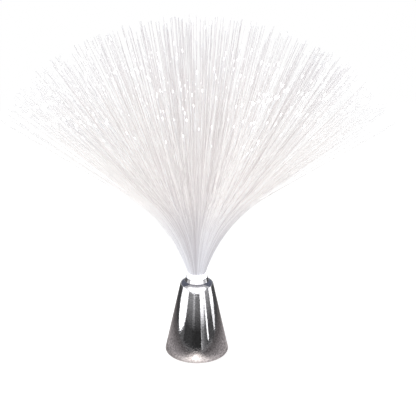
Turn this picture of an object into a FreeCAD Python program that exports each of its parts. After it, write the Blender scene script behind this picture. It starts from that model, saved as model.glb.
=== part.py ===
import FreeCAD
import Part
import math
import os

# Battery fibre-optic table lamp: a bright conical housing on rubber feet, three upright
# cells behind a hinged door, a slide switch under the base, three lamps on a board, and a
# bundle of acrylic strands that leaves a white collar and opens into a fountain.
# Millimetres, +Z up, origin on the table under the middle of the base.
# The switch lies towards +X, the door's hinge towards -X.

# ---------------------------------------------------------------- housing
cone_foot_r = 32.4          # cone line at the rim
cone_top_r = 16.0           # cone line at the shoulder
guide_h = 13.4              # fibre ends to the shoulder
foot_proud = 0.6            # rim and cover above the table
shell_wall = 2.0
rim_fillet = 1.2
shoulder_fillet = 4.0
shoulder_rise = 1.0         # crown of the shoulder towards the neck
lip_r = 10.8
lip_wall = 0.8
lip_height = 5.4            # lip above the shoulder line
rim_bore_r = 27.6           # straight mouth that takes the cover
boss_r = 2.6
boss_circle_r = 22.5
boss_top_z = 46.0
boss_angles = (90.0, 210.0, 330.0)

# ---------------------------------------------------------------- bottom cover
cover_t = 2.2
cover_gap = 0.2             # cover to mouth, on the radius
door_opening_r = 13.3
screw_head_r = 2.3
screw_head_h = 1.3
screw_shank_r = 1.0
screw_length = 9.0
screw_hole_gap = 0.25
pilot_spare = 1.0           # pilot hole below the screw's point
screw_recess = 0.25         # head below the cover's outer face

foot_r = 4.0
foot_t = 1.3
foot_circle_r = 21.5
foot_angles = (30.0, 150.0, 270.0)

# ---------------------------------------------------------------- battery door
door_t = 1.8
door_gap = 0.5              # door to opening, on the radius
hinge_x = 16.2              # hinge axis behind the middle
hinge_barrel_r = 1.8
hinge_barrel_w = 8.0
hinge_pin_r = 0.8
hinge_pin_l = 1.6
hinge_pin_gap = 0.05        # running clearance, on the radius
hinge_side_gap = 0.2
hinge_back_gap = 0.25
knuckle_w = 2.4
latch_w = 5.0
latch_reach = 1.6
latch_gap = 0.25
nail_notch_w = 3.6
nail_notch_l = 2.2
nail_notch_depth = 0.9

# ---------------------------------------------------------------- cells and their holder
cell_r = 5.25
cell_length = 44.5          # with the button
cell_button_r = 1.9
cell_button_h = 1.0
cell_circle_r = 6.9
cell_angles = (30.0, 150.0, 270.0)
cell_gap = 0.25             # cell to tube, on the radius
tube_wall = 1.0
tube_window_w = 5.0
tube_window_margin = 7.0
bulkhead_t = 2.0
flange_t = 1.6
flange_r = 16.0
ear_w = 5.6
ear_reach = 2.8

contact_t = 0.3
contact_w = 5.0
contact_air = 0.2           # touching contacts are drawn this far apart
spring_h = 1.5
tab_w = 1.6
tab_gap = 0.2
tab_circle_r = 10.2
terminal_w = 3.0
terminal_h = 5.0
terminal_reach = 3.6

# ---------------------------------------------------------------- slide switch
switch_circle_r = 20.8
switch_l = 8.6
switch_w = 3.7
switch_h = 3.5
switch_travel = 2.0
switch_pin_w = 0.6
switch_pin_t = 0.3
switch_pin_l = 3.0
switch_pin_pitch = 2.5
pocket_l = 10.0
pocket_w = 5.0
pocket_depth = 1.5
pocket_wall = 1.2
knob_l = 2.6
knob_w = 2.4
knob_gap = 0.25
knob_recess = 0.2           # knob end above the cover's outer face
knob_plate_l = 4.4
knob_plate_t = 0.8
knob_rib_w = 0.4

# ---------------------------------------------------------------- board and lamps
standoff_h = 1.6
standoff_r = 1.8
board_r = 14.0
board_t = 1.2
board_screw_circle_r = 11.6
board_screw_angles = (75.0, 255.0)
board_screw_r = 0.8
board_screw_head_r = 1.6
board_screw_head_h = 1.0
board_screw_l = 4.4
led_r = 1.5
led_flange_r = 1.9
led_flange_h = 1.0
led_height = 5.3
led_crown = 1.3             # rounding of the lamps' tops
led_circle_r = 3.2
led_angles = (90.0, 210.0, 330.0)
led_air = 1.1               # lamps to fibre ends
chip_l = 3.0
chip_w = 1.7
chip_h = 1.1
chip_leg_w = 0.4
chip_leg_t = 0.3
chip_leg_reach = 0.7
chip_leg_pitch = 0.95
resistor_l = 2.0
resistor_w = 1.25
resistor_h = 0.5
resistor_pitch = 2.4
small_parts_circle_r = 11.4

# ---------------------------------------------------------------- light guide and collar
reflector_wall = 1.5
reflector_flange_r = 9.4
reflector_flange_t = 1.2
ferrule_wall = 1.2
ferrule_gap = 0.1
ferrule_seat_h = 2.4        # ferrule length held in the reflector
collar_wall = 1.2
collar_proud = 3.0          # collar above the lip
collar_edge = 0.3           # rounding of the mouth's outer edge
collar_gap = 0.1            # collar to lip, on the radius
collar_flange_t = 1.6
collar_flange_w = 2.6
collar_skirt = 2.0          # collar length that sleeves the ferrule

# ---------------------------------------------------------------- strands
strand_w = 0.7
strand_length = 265.0
strand_rings = 6
strands_per_ring = 6        # added with every ring
ring_pitch = 1.0
neck_turn = 18.0            # degrees that the outermost strand turns in the neck
spread_turn = 56.0          # degrees that it has turned at its tip
spread_bend_r = 170.0
neck_spread = 2.3           # radius that the bundle gains in the neck
outer_trim = 5.0            # outermost strands are this much shorter
ring_twist = 21.0           # degrees that each ring is turned past the one inside it
ripple = 0.05               # uneven spread along a ring, as a share
ripple_fade = 1.5           # the inner rings are more uneven than the outer ones
ripple_waves = 6
neck_steps = 2
spread_steps = 3
bore_gap = 0.35             # collar bore to strands

lead_w = 1.0
lead_rise = 1.5
lead_gap = 0.2              # lead to the board's edge

# ---------------------------------------------------------------- heights that follow
cover_top = foot_proud + cover_t
door_top = foot_proud + door_t
hinge_z = foot_proud + hinge_barrel_r
cell_base = door_top + contact_t + spring_h + contact_air
cell_top = cell_base + cell_length
bulkhead_z = cell_top + contact_air + contact_t
bulkhead_top = bulkhead_z + bulkhead_t
board_z = bulkhead_top + standoff_h
board_top = board_z + board_t
root_z = board_top + led_height + led_air
shoulder_z = root_z + guide_h
ceiling_z = shoulder_z - shell_wall
lip_z = shoulder_z + lip_height
collar_top = lip_z + collar_proud
bundle_r = strand_rings * ring_pitch
neck_bend_r = neck_spread / (1.0 - math.cos(math.radians(neck_turn)))
neck_z = collar_top - neck_bend_r * math.sin(math.radians(neck_turn))
ferrule_bore_r = bundle_r + strand_w / 2.0 + bore_gap
ferrule_r = ferrule_bore_r + ferrule_wall
tube_r = cell_r + cell_gap
tube_outer_r = tube_r + tube_wall
cone_slope = (cone_foot_r - cone_top_r) / (shoulder_z - foot_proud)
pocket_floor = foot_proud + pocket_depth
pocket_top = pocket_floor + pocket_wall

# Turned forms are drawn with flats, as fine as their roundness needs.
shell_sides = 48
round_sides = 28
rod_sides = 12
fillet_steps = 3
past = 1.0                  # cuts run this far past the faces that they open

UP = FreeCAD.Vector(0, 0, 1)
CENTRE = FreeCAD.Vector(0, 0, 0)


def box(x0, x1, y0, y1, z0, z1):
    """Box between two corners."""
    return Part.makeBox(x1 - x0, y1 - y0, z1 - z0, FreeCAD.Vector(x0, y0, z0))


def turned(shape, angle):
    """Copy of a shape turned about the lamp's axis."""
    copy = shape.copy()
    copy.rotate(CENTRE, UP, angle)
    return copy


def around(circle_r, angle):
    """Point on a circle about the lamp's axis."""
    turn = math.radians(angle)
    return circle_r * math.cos(turn), circle_r * math.sin(turn)


def fused(first, *others):
    """One solid from pieces that touch."""
    return first.multiFuse(list(others)).removeSplitter()


def corner(before, here, after, radius):
    """Tangent arc that rounds one corner, as its start, middle and end."""
    to_before = (before - here).normalize()
    to_after = (after - here).normalize()
    half = to_before.getAngle(to_after) / 2.0
    reach = radius / math.tan(half)
    start = here + to_before * reach
    end = here + to_after * reach
    inward = (to_before + to_after).normalize()
    middle = here + inward * (radius / math.sin(half) - radius)
    return start, middle, end


def outline(corners):
    """Profile points from (radius, height) corners; a third value rounds that corner."""
    points = [FreeCAD.Vector(c[0], 0, c[1]) for c in corners]
    rounded = []
    for i, c in enumerate(corners):
        if len(c) == 2:
            rounded.append(points[i])
            continue
        start, middle, end = corner(points[i - 1], points[i], points[(i + 1) % len(points)], c[2])
        arc = Part.Arc(start, middle, end).toShape()
        rounded += arc.discretize(Number=fillet_steps + 1)
    return rounded


def turned_form(corners, sides):
    """Solid turned from a profile, with a given number of flats round the axis."""
    profile = outline(corners)
    rings = []
    for point in profile:
        ring = []
        for side in range(sides if point.x > 0.0 else 1):
            x, y = around(point.x, 360.0 * side / sides)
            ring.append(FreeCAD.Vector(x, y, point.z))
        rings.append(ring)
    faces = []
    for i, lower in enumerate(rings):
        upper = rings[(i + 1) % len(rings)]
        if len(lower) == 1 and len(upper) == 1:
            continue
        for side in range(sides):
            after = (side + 1) % sides
            loop = [lower[side % len(lower)], lower[after % len(lower)]]
            loop += [upper[after % len(upper)], upper[side % len(upper)]]
            loop = [p for n, p in enumerate(loop) if not p.isEqual(loop[n - 1], 1e-7)]
            faces.append(Part.Face(Part.makePolygon(loop + loop[:1])))
    solid = Part.Solid(Part.Shell(faces)).removeSplitter()
    if solid.Volume < 0.0:
        solid.reverse()
    return solid


def disc(radius, z0, z1, x=0.0, y=0.0, sides=round_sides):
    """Flat-sided round plate from z0 to z1."""
    plate = turned_form([(0.0, z0), (radius, z0), (radius, z1), (0.0, z1)], sides)
    plate.translate(FreeCAD.Vector(x, y, 0))
    return plate


def rod(radius, z0, z1, x, y):
    """Slim upright rod or hole, which needs fewer flats."""
    return disc(radius, z0, z1, x, y, rod_sides)


def ribbon(path, width, depth):
    """Bar of square or flat section along (radius, height) points in the XZ plane.

    width lies in the plane and depth across it, centred on y = 0."""
    points = [FreeCAD.Vector(r, 0, z) for r, z in path]
    near = []
    far = []
    for i, here in enumerate(points):
        before = points[max(i - 1, 0)]
        after = points[min(i + 1, len(points) - 1)]
        into = (here - before).normalize() if i else (after - here).normalize()
        out = (after - here).normalize() if i < len(points) - 1 else into
        along = (into + out).normalize()
        side = FreeCAD.Vector(along.z, 0, -along.x)
        mitre = width / 2.0 / along.dot(into)
        near.append(here + side * mitre)
        far.append(here - side * mitre)
    loop = near + far[::-1]
    face = Part.Face(Part.makePolygon(loop + loop[:1]))
    bar = face.extrude(FreeCAD.Vector(0, depth, 0))
    bar.translate(FreeCAD.Vector(0, -depth / 2.0, 0))
    return bar


# ---------------------------------------------------------------- housing
def cone_r(z):
    """Outer radius of the cone at a height."""
    return cone_foot_r - cone_slope * (z - foot_proud)


def shell_outer():
    """Outer form of the housing, filled."""
    return turned_form([
        (0.0, foot_proud),
        (cone_foot_r, foot_proud, rim_fillet),
        (cone_top_r, shoulder_z, shoulder_fillet),
        (lip_r, shoulder_z + shoulder_rise),
        (lip_r, lip_z),
        (0.0, lip_z),
    ], shell_sides)


def shell_inner():
    """Hollow of the housing: straight mouth, tapered room, flat ceiling."""
    room_slope = shell_wall * math.sqrt(1.0 + cone_slope ** 2)
    mouth_z = foot_proud + (cone_foot_r - room_slope - rim_bore_r) / cone_slope
    return turned_form([
        (0.0, 0.0),
        (rim_bore_r, 0.0),
        (rim_bore_r, mouth_z),
        (cone_r(ceiling_z) - room_slope, ceiling_z),
        (0.0, ceiling_z),
    ], shell_sides)


def pilot_depth_z():
    """Height that the pilot holes reach."""
    return screw_seat_z() + screw_length + pilot_spare


def screw_seat_z():
    """Underside of the cover screws' heads."""
    return foot_proud + screw_head_h


def housing_shell():
    outer = shell_outer()
    shell = outer.cut(shell_inner())
    bore = disc(lip_r - lip_wall, ceiling_z - past, lip_z + past)
    posts = []
    holes = [bore]
    for angle in boss_angles:
        x, y = around(boss_circle_r, angle)
        post = rod(boss_r, cover_top + flange_t, boss_top_z, x, y)
        posts.append(post.common(outer))
        holes.append(rod(screw_shank_r, cover_top, pilot_depth_z(), x, y))
    return fused(shell, *posts).cut(holes)


# ---------------------------------------------------------------- bottom cover
def latch_x():
    """Where the door's latch tongue ends, beyond the opening."""
    return door_opening_r + latch_reach


def cover_disc_r():
    return rim_bore_r - cover_gap


def bottom_cover():
    plate = turned_form([
        (0.0, foot_proud), (cover_disc_r(), foot_proud), (cover_disc_r(), cover_top), (0.0, cover_top),
    ], shell_sides)
    tray = box(
        switch_circle_r - pocket_w / 2.0 - pocket_wall, switch_circle_r + pocket_w / 2.0 + pocket_wall,
        -pocket_l / 2.0 - pocket_wall, pocket_l / 2.0 + pocket_wall, foot_proud, pocket_top)
    inner_y = hinge_barrel_w / 2.0 + hinge_side_gap
    knuckles = box(
        -hinge_x - hinge_barrel_r, -hinge_x + hinge_barrel_r,
        -inner_y - knuckle_w, inner_y + knuckle_w, foot_proud, hinge_z + hinge_barrel_r)
    body = fused(plate, tray, knuckles)
    tall = hinge_z + 2.0 * hinge_barrel_r
    cuts = [
        disc(door_opening_r, 0.0, tall),
        box(-hinge_x - hinge_barrel_r - hinge_back_gap, 0.0, -inner_y, inner_y, 0.0, tall),
        box(0.0, latch_x() + latch_gap, -latch_w / 2.0 - latch_gap, latch_w / 2.0 + latch_gap, 0.0, tall),
        box(switch_circle_r - pocket_w / 2.0, switch_circle_r + pocket_w / 2.0,
            -pocket_l / 2.0, pocket_l / 2.0, 0.0, pocket_floor),
        box(switch_circle_r - knob_w / 2.0 - knob_gap, switch_circle_r + knob_w / 2.0 + knob_gap,
            -knob_l / 2.0 - knob_gap, knob_l / 2.0 + switch_travel + knob_gap, 0.0, pocket_top + past),
        Part.makeCylinder(
            hinge_pin_r + hinge_pin_gap, 2.0 * (inner_y + hinge_pin_l),
            FreeCAD.Vector(-hinge_x, -inner_y - hinge_pin_l, hinge_z), FreeCAD.Vector(0, 1, 0)),
    ]
    for angle in boss_angles:
        x, y = around(boss_circle_r, angle)
        cuts.append(rod(screw_shank_r + screw_hole_gap, 0.0, cover_top + past, x, y))
        cuts.append(rod(screw_head_r + screw_hole_gap, 0.0, screw_seat_z(), x, y))
    for angle in foot_angles:
        x, y = around(foot_circle_r, angle)
        cuts.append(disc(foot_r, 0.0, foot_t, x, y))
    return body.cut(cuts)


def cover_screws():
    screws = []
    for angle in boss_angles:
        x, y = around(boss_circle_r, angle)
        head = rod(screw_head_r, foot_proud + screw_recess, screw_seat_z(), x, y)
        shank = rod(screw_shank_r, screw_seat_z(), screw_seat_z() + screw_length, x, y)
        screws.append(fused(head, shank))
    return Part.makeCompound(screws)


def foot_pads():
    pads = []
    for angle in foot_angles:
        x, y = around(foot_circle_r, angle)
        pads.append(disc(foot_r, 0.0, foot_t, x, y))
    return Part.makeCompound(pads)


# ---------------------------------------------------------------- battery door
def battery_door():
    plate = disc(door_opening_r - door_gap, foot_proud, door_top)
    arm = box(-hinge_x, 0.0, -hinge_barrel_w / 2.0, hinge_barrel_w / 2.0, foot_proud, door_top)
    barrel = Part.makeCylinder(
        hinge_barrel_r, hinge_barrel_w,
        FreeCAD.Vector(-hinge_x, -hinge_barrel_w / 2.0, hinge_z), FreeCAD.Vector(0, 1, 0))
    pins = Part.makeCylinder(
        hinge_pin_r, hinge_barrel_w + 2.0 * hinge_pin_l,
        FreeCAD.Vector(-hinge_x, -hinge_barrel_w / 2.0 - hinge_pin_l, hinge_z), FreeCAD.Vector(0, 1, 0))
    tongue = box(0.0, latch_x(), -latch_w / 2.0, latch_w / 2.0, foot_proud, door_top)
    door = fused(plate, arm, barrel, pins, tongue)
    notch = box(latch_x() - nail_notch_l, latch_x() + past, -nail_notch_w / 2.0, nail_notch_w / 2.0,
                0.0, foot_proud + nail_notch_depth)
    return door.cut(notch)


def door_bridge_contact():
    """Plate on the door that joins the cells at 150 and 270 degrees, with a spring leaf for each."""
    return door_contact(cell_angles[1], cell_angles[2])


def door_plate_contact():
    """Plate on the door under the cell at 30 degrees, which also meets the fixed terminal."""
    plate = box(cell_circle_r - contact_w / 2.0, cell_circle_r + cell_r, -contact_w / 2.0, contact_w / 2.0,
                door_top, door_top + contact_t)
    return fused(turned(plate, cell_angles[0]), spring_leaf(cell_angles[0]))


def spring_leaf(angle):
    """Sprung tongue that presses on the end of one cell."""
    low = door_top + contact_t / 2.0
    high = door_top + contact_t / 2.0 + spring_h
    leaf = ribbon([
        (cell_circle_r - contact_w / 2.0, low),
        (cell_circle_r - contact_w / 4.0, high),
        (cell_circle_r + contact_w / 4.0, high),
        (cell_circle_r + contact_w / 2.0, low + contact_t),
    ], contact_t, tab_w)
    return turned(leaf, angle)


def door_contact(first, second):
    x0, y0 = around(cell_circle_r, first)
    x1, y1 = around(cell_circle_r, second)
    length = math.hypot(x1 - x0, y1 - y0) + contact_w
    plate = box(-length / 2.0, length / 2.0, -contact_w / 2.0, contact_w / 2.0,
                door_top, door_top + contact_t)
    plate.rotate(CENTRE, UP, math.degrees(math.atan2(y1 - y0, x1 - x0)))
    plate.translate(FreeCAD.Vector((x0 + x1) / 2.0, (y0 + y1) / 2.0, 0))
    return fused(plate, spring_leaf(first), spring_leaf(second))


# ---------------------------------------------------------------- cells and their holder
def battery_cell(number):
    """One cell; the middle one stands on its button."""
    body_end = cell_length - cell_button_h
    cell = turned_form([
        (0.0, 0.0), (cell_r, 0.0), (cell_r, body_end),
        (cell_button_r, body_end), (cell_button_r, cell_length), (0.0, cell_length),
    ], round_sides)
    if number == 1:
        cell.rotate(CENTRE, FreeCAD.Vector(1, 0, 0), 180)
        cell.translate(FreeCAD.Vector(0, 0, cell_length))
    x, y = around(cell_circle_r, cell_angles[number])
    cell.translate(FreeCAD.Vector(x, y, cell_base))
    return cell


def bridge_span():
    """Middle and direction of the line between the cells at 30 and 150 degrees."""
    x0, y0 = around(cell_circle_r, cell_angles[0])
    x1, y1 = around(cell_circle_r, cell_angles[1])
    return (x0 + x1) / 2.0, (y0 + y1) / 2.0, abs(x1 - x0)


def top_bridge_contact():
    """Plate under the bulkhead that joins the cells at 30 and 150 degrees."""
    x, y, span = bridge_span()
    return box(x - span / 2.0 - contact_w / 2.0, x + span / 2.0 + contact_w / 2.0,
               y - contact_w / 2.0, y + contact_w / 2.0, bulkhead_z - contact_t, bulkhead_z)


def top_tab_contact():
    """Plate under the bulkhead over the cell at 270 degrees, with a tab up to the board."""
    y = -cell_circle_r
    plate = box(-contact_w / 2.0, contact_w / 2.0, -tab_circle_r - contact_t, y + contact_w / 2.0,
                bulkhead_z - contact_t, bulkhead_z)
    tab = box(-tab_w / 2.0, tab_w / 2.0, -tab_circle_r - contact_t, -tab_circle_r,
              bulkhead_z, board_top + contact_t)
    return fused(plate, tab)


def tab_slot(z0, z1):
    """Opening that the contact's tab passes."""
    return box(-tab_w / 2.0 - tab_gap, tab_w / 2.0 + tab_gap,
               -tab_circle_r - contact_t - tab_gap, -tab_circle_r + tab_gap, z0, z1)


def battery_cage():
    """Three open tubes on a flange, with ears under the cover screws and a bulkhead on top."""
    pieces = [disc(flange_r, cover_top, cover_top + flange_t), disc(board_r, bulkhead_z, bulkhead_top)]
    cuts = []
    for angle in cell_angles:
        x, y = around(cell_circle_r, angle)
        pieces.append(disc(tube_outer_r, cover_top, bulkhead_z, x, y))
        cuts.append(disc(tube_r, 0.0, bulkhead_z, x, y))
        cuts.append(turned(box(
            cell_circle_r, cell_circle_r + 2.0 * tube_outer_r, -tube_window_w / 2.0, tube_window_w / 2.0,
            cover_top + flange_t + tube_window_margin, bulkhead_z - tube_window_margin), angle))
    for angle in boss_angles:
        arm = box(0.0, boss_circle_r + ear_reach, -ear_w / 2.0, ear_w / 2.0, cover_top, cover_top + flange_t)
        pieces.append(turned(arm, angle))
        x, y = around(boss_circle_r, angle)
        cuts.append(rod(screw_shank_r + screw_hole_gap, 0.0, cover_top + flange_t + past, x, y))
    for angle in board_screw_angles:
        x, y = around(board_screw_circle_r, angle)
        pieces.append(rod(standoff_r, bulkhead_top, board_z, x, y))
        cuts.append(rod(board_screw_r, board_top - board_screw_l, board_z + past, x, y))
    body = fused(*pieces)
    x, y, span = bridge_span()
    cuts.append(box(x - span / 2.0, x + span / 2.0, y - contact_w / 2.0 - tab_gap,
                    y + contact_w / 2.0 + tab_gap, bulkhead_z - contact_t - contact_air, bulkhead_z))
    cuts.append(tab_slot(bulkhead_z, bulkhead_top + past))
    cuts.append(turned(box(
        cell_circle_r, terminal_r() + contact_t / 2.0 + tab_gap + tube_wall,
        -terminal_w / 2.0 - tab_gap, terminal_w / 2.0 + tab_gap, 0.0, terminal_top() + contact_t),
        cell_angles[0]))
    knuckle_y = hinge_barrel_w / 2.0 + knuckle_w + 2.0 * hinge_side_gap
    cuts.append(box(
        -flange_r - past, -hinge_x + hinge_barrel_r + hinge_back_gap, -knuckle_y, knuckle_y,
        0.0, cover_top + flange_t + past))
    return body.cut(cuts)


def terminal_r():
    """Radius at which the fixed terminal stands, in the wall of its tube."""
    return cell_circle_r + tube_r + contact_t / 2.0 + tab_gap


def terminal_top():
    return cover_top + flange_t + terminal_h


def battery_terminal():
    """Strip in the cage that meets the door's plate and carries the lead to the switch."""
    strip = ribbon([
        (terminal_r() - contact_w / 4.0, door_top + contact_t + contact_air + contact_t / 2.0),
        (terminal_r(), door_top + contact_t + contact_air + contact_t / 2.0),
        (terminal_r(), terminal_top()),
        (terminal_r() + terminal_reach, terminal_top()),
    ], contact_t, terminal_w)
    return turned(strip, cell_angles[0])


# ---------------------------------------------------------------- slide switch
def switch_housing():
    body = box(switch_circle_r - switch_w / 2.0, switch_circle_r + switch_w / 2.0,
               -switch_l / 2.0, switch_l / 2.0, pocket_top, pocket_top + switch_h)
    room = box(switch_circle_r - knob_w / 2.0 - knob_gap, switch_circle_r + knob_w / 2.0 + knob_gap,
               -knob_plate_l / 2.0 - knob_gap, knob_plate_l / 2.0 + switch_travel + knob_gap,
               pocket_top - past, pocket_top + knob_plate_t + 2.0 * knob_gap)
    return body.cut(room)


def switch_pins():
    pins = []
    for step in (-1, 0, 1):
        y = step * switch_pin_pitch
        pins.append(box(
            switch_circle_r - switch_pin_t / 2.0, switch_circle_r + switch_pin_t / 2.0,
            y - switch_pin_w / 2.0, y + switch_pin_w / 2.0,
            pocket_top + switch_h, pocket_top + switch_h + switch_pin_l))
    return Part.makeCompound(pins)


def switch_knob():
    stem = box(switch_circle_r - knob_w / 2.0, switch_circle_r + knob_w / 2.0,
               -knob_l / 2.0, knob_l / 2.0, foot_proud + knob_recess, pocket_top + knob_gap)
    plate = box(switch_circle_r - knob_w / 2.0, switch_circle_r + knob_w / 2.0,
                -knob_plate_l / 2.0, knob_plate_l / 2.0,
                pocket_top + knob_gap, pocket_top + knob_gap + knob_plate_t)
    grooves = []
    for step in (-1, 0, 1):
        y = step * 2.0 * knob_rib_w
        grooves.append(box(
            switch_circle_r - knob_w, switch_circle_r + knob_w, y - knob_rib_w / 2.0, y + knob_rib_w / 2.0,
            0.0, foot_proud + knob_recess + knob_rib_w))
    return fused(stem, plate).cut(grooves)


def pin_top():
    """Upper end of the switch's pins, where the leads are soldered."""
    return pocket_top + switch_h + switch_pin_l


def lead_to_terminal():
    """Lead from the fixed terminal up and over to the switch's outer pin."""
    tab_x, tab_y = around(terminal_r() + terminal_reach - lead_w / 2.0, cell_angles[0])
    run_x = switch_circle_r - tab_x
    run_y = switch_pin_pitch - tab_y
    run = math.hypot(run_x, run_y)
    top = pin_top() + lead_rise
    bar = ribbon([(0.0, terminal_top() + contact_t / 2.0), (0.0, top), (run, top), (run, pin_top())],
                 lead_w, lead_w)
    bar.rotate(CENTRE, UP, math.degrees(math.atan2(run_y, run_x)))
    bar.translate(FreeCAD.Vector(tab_x, tab_y, 0))
    return bar


def lead_to_board():
    """Lead from the switch's middle pin up beside the cage and over the board's edge."""
    side_x = board_r + lead_gap + lead_w / 2.0
    slant_top = pin_top() + lead_rise + 2.0 * (switch_circle_r - side_x)
    end_z = board_top + lead_w / 2.0
    return ribbon([
        (switch_circle_r, pin_top()),
        (switch_circle_r, pin_top() + lead_rise),
        (side_x, slant_top),
        (side_x, end_z),
        (board_r - lead_w, end_z),
    ], lead_w, lead_w)


# ---------------------------------------------------------------- board and lamps
def circuit_board():
    board = disc(board_r, board_z, board_top)
    cuts = [tab_slot(board_z - past, board_top + past)]
    for angle in board_screw_angles:
        x, y = around(board_screw_circle_r, angle)
        cuts.append(rod(board_screw_r, board_z - past, board_top + past, x, y))
    return board.cut(cuts)


def board_screws():
    screws = []
    for angle in board_screw_angles:
        x, y = around(board_screw_circle_r, angle)
        head = rod(board_screw_head_r, board_top, board_top + board_screw_head_h, x, y)
        shank = rod(board_screw_r, board_top - board_screw_l, board_top, x, y)
        screws.append(fused(head, shank))
    return Part.makeCompound(screws)


def led_lamp(angle):
    """Round lamp with a flange and a domed top."""
    lamp = turned_form([
        (0.0, board_top),
        (led_flange_r, board_top),
        (led_flange_r, board_top + led_flange_h),
        (led_r, board_top + led_flange_h),
        (led_r, board_top + led_height, led_crown),
        (0.0, board_top + led_height),
    ], rod_sides)
    x, y = around(led_circle_r, angle)
    lamp.translate(FreeCAD.Vector(x, y, 0))
    return lamp


def driver_chip():
    body = box(-chip_l / 2.0, chip_l / 2.0, -chip_w / 2.0, chip_w / 2.0, board_top, board_top + chip_h)
    legs = []
    for step in (-1, 0, 1):
        x = step * chip_leg_pitch
        legs.append(box(x - chip_leg_w / 2.0, x + chip_leg_w / 2.0,
                        -chip_w / 2.0 - chip_leg_reach, chip_w / 2.0 + chip_leg_reach,
                        board_top, board_top + chip_leg_t))
    chip = fused(body, *legs)
    chip.translate(FreeCAD.Vector(-small_parts_circle_r, 0, 0))
    chip.rotate(FreeCAD.Vector(-small_parts_circle_r, 0, 0), UP, 90)
    return chip


def board_resistors():
    parts = []
    for step in (-1, 0, 1):
        x, y = around(small_parts_circle_r, 0.0)
        parts.append(box(x - resistor_l / 2.0, x + resistor_l / 2.0,
                         step * resistor_pitch - resistor_w / 2.0, step * resistor_pitch + resistor_w / 2.0,
                         board_top, board_top + resistor_h))
    return Part.makeCompound(parts)


# ---------------------------------------------------------------- light guide and collar
def led_reflector():
    """White cup round the lamps that also seats the ferrule."""
    seat_r = ferrule_r + ferrule_gap
    top = root_z + ferrule_seat_h
    return turned_form([
        (ferrule_bore_r, board_top),
        (reflector_flange_r, board_top),
        (reflector_flange_r, board_top + reflector_flange_t),
        (seat_r + reflector_wall, board_top + reflector_flange_t),
        (seat_r + reflector_wall, top),
        (seat_r, top),
        (seat_r, root_z),
        (ferrule_bore_r, root_z),
    ], round_sides)


def bundle_ferrule():
    """Metal ring that binds the strands below the neck."""
    return turned_form([
        (ferrule_bore_r, root_z), (ferrule_r, root_z), (ferrule_r, neck_z), (ferrule_bore_r, neck_z),
    ], round_sides)


def neck_collar():
    """Milky collar: skirt over the ferrule, flange under the ceiling, flared mouth."""
    bend = neck_bend_r - strand_w / 2.0 - bore_gap
    half_turn = math.asin((collar_top - neck_z) / bend)
    flare = []
    for step in range(fillet_steps + 1):
        turn = half_turn * step / fillet_steps
        flare.append((ferrule_bore_r + bend * (1.0 - math.cos(turn)), neck_z + bend * math.sin(turn)))
    outer_r = lip_r - lip_wall - collar_gap
    skirt_r = ferrule_r + ferrule_gap
    foot_z = neck_z - collar_skirt
    return turned_form(flare + [
        (outer_r, collar_top, collar_edge),
        (outer_r, ceiling_z),
        (outer_r + collar_flange_w, ceiling_z),
        (outer_r + collar_flange_w, ceiling_z - collar_flange_t),
        (skirt_r + collar_wall, ceiling_z - collar_flange_t),
        (skirt_r + collar_wall, foot_z),
        (skirt_r, foot_z),
        (skirt_r, neck_z),
    ], round_sides)


# ---------------------------------------------------------------- strands
def bend_steps(ring, most):
    """Straight pieces that a bend is drawn with, fewer for the inner rings, which turn less."""
    return math.ceil(most * ring / strand_rings)


def strand_path(ring, lean, length):
    """Points of one strand in its own upright plane.

    It rises straight through the ferrule, bends in the neck, opens on a wide bend and runs
    straight to its tip. lean is its part of the outermost strand's turning."""
    root_r = ring * ring_pitch
    neck = math.radians(neck_turn) * lean
    spread = math.radians(spread_turn) * lean
    path = [(root_r, root_z), (root_r, neck_z)]
    steps = bend_steps(ring, neck_steps)
    for step in range(1, steps + 1):
        turn = neck * step / steps
        path.append((root_r + neck_bend_r * (1.0 - math.cos(turn)), neck_z + neck_bend_r * math.sin(turn)))
    start_r, start_z = path[-1]
    steps = bend_steps(ring, spread_steps)
    for step in range(1, steps + 1):
        turn = neck + (spread - neck) * step / steps
        path.append((
            start_r + spread_bend_r * (math.cos(neck) - math.cos(turn)),
            start_z + spread_bend_r * (math.sin(turn) - math.sin(neck))))
    used = neck_z - root_z + neck_bend_r * neck + spread_bend_r * (spread - neck)
    run = length - used
    end_r, end_z = path[-1]
    path.append((end_r + run * math.sin(spread), end_z + run * math.cos(spread)))
    return path


def strand_ring(ring):
    """One ring of strands, evenly spaced round the axis and slightly rippled in spread."""
    count = strands_per_ring * ring
    share = ring / strand_rings
    strands = []
    for number in range(count):
        angle = 360.0 * number / count + ring_twist * ring
        wave = ripple * (ripple_fade - share)
        lean = share * (1.0 - wave * (1.0 - math.cos(math.radians(ripple_waves * angle))) / 2.0)
        path = strand_path(ring, lean, strand_length - outer_trim * share)
        strands.append(turned(ribbon(path, strand_w, strand_w), angle))
    return Part.makeCompound(strands)


def centre_strand():
    half = strand_w / 2.0
    return box(-half, half, -half, half, root_z, root_z + strand_length)


NODES = {
    "housing_shell": housing_shell,
    "bottom_cover": bottom_cover,
    "cover_screws": cover_screws,
    "foot_pads": foot_pads,
    "battery_door": battery_door,
    "door_bridge_contact": door_bridge_contact,
    "door_plate_contact": door_plate_contact,
    "battery_cage": battery_cage,
    "battery_terminal": battery_terminal,
    "top_bridge_contact": top_bridge_contact,
    "top_tab_contact": top_tab_contact,
    "switch_housing": switch_housing,
    "switch_pins": switch_pins,
    "switch_knob": switch_knob,
    "lead_to_terminal": lead_to_terminal,
    "lead_to_board": lead_to_board,
    "circuit_board": circuit_board,
    "board_screws": board_screws,
    "driver_chip": driver_chip,
    "board_resistors": board_resistors,
    "led_reflector": led_reflector,
    "bundle_ferrule": bundle_ferrule,
    "neck_collar": neck_collar,
    "strand_centre": centre_strand,
}


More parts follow.
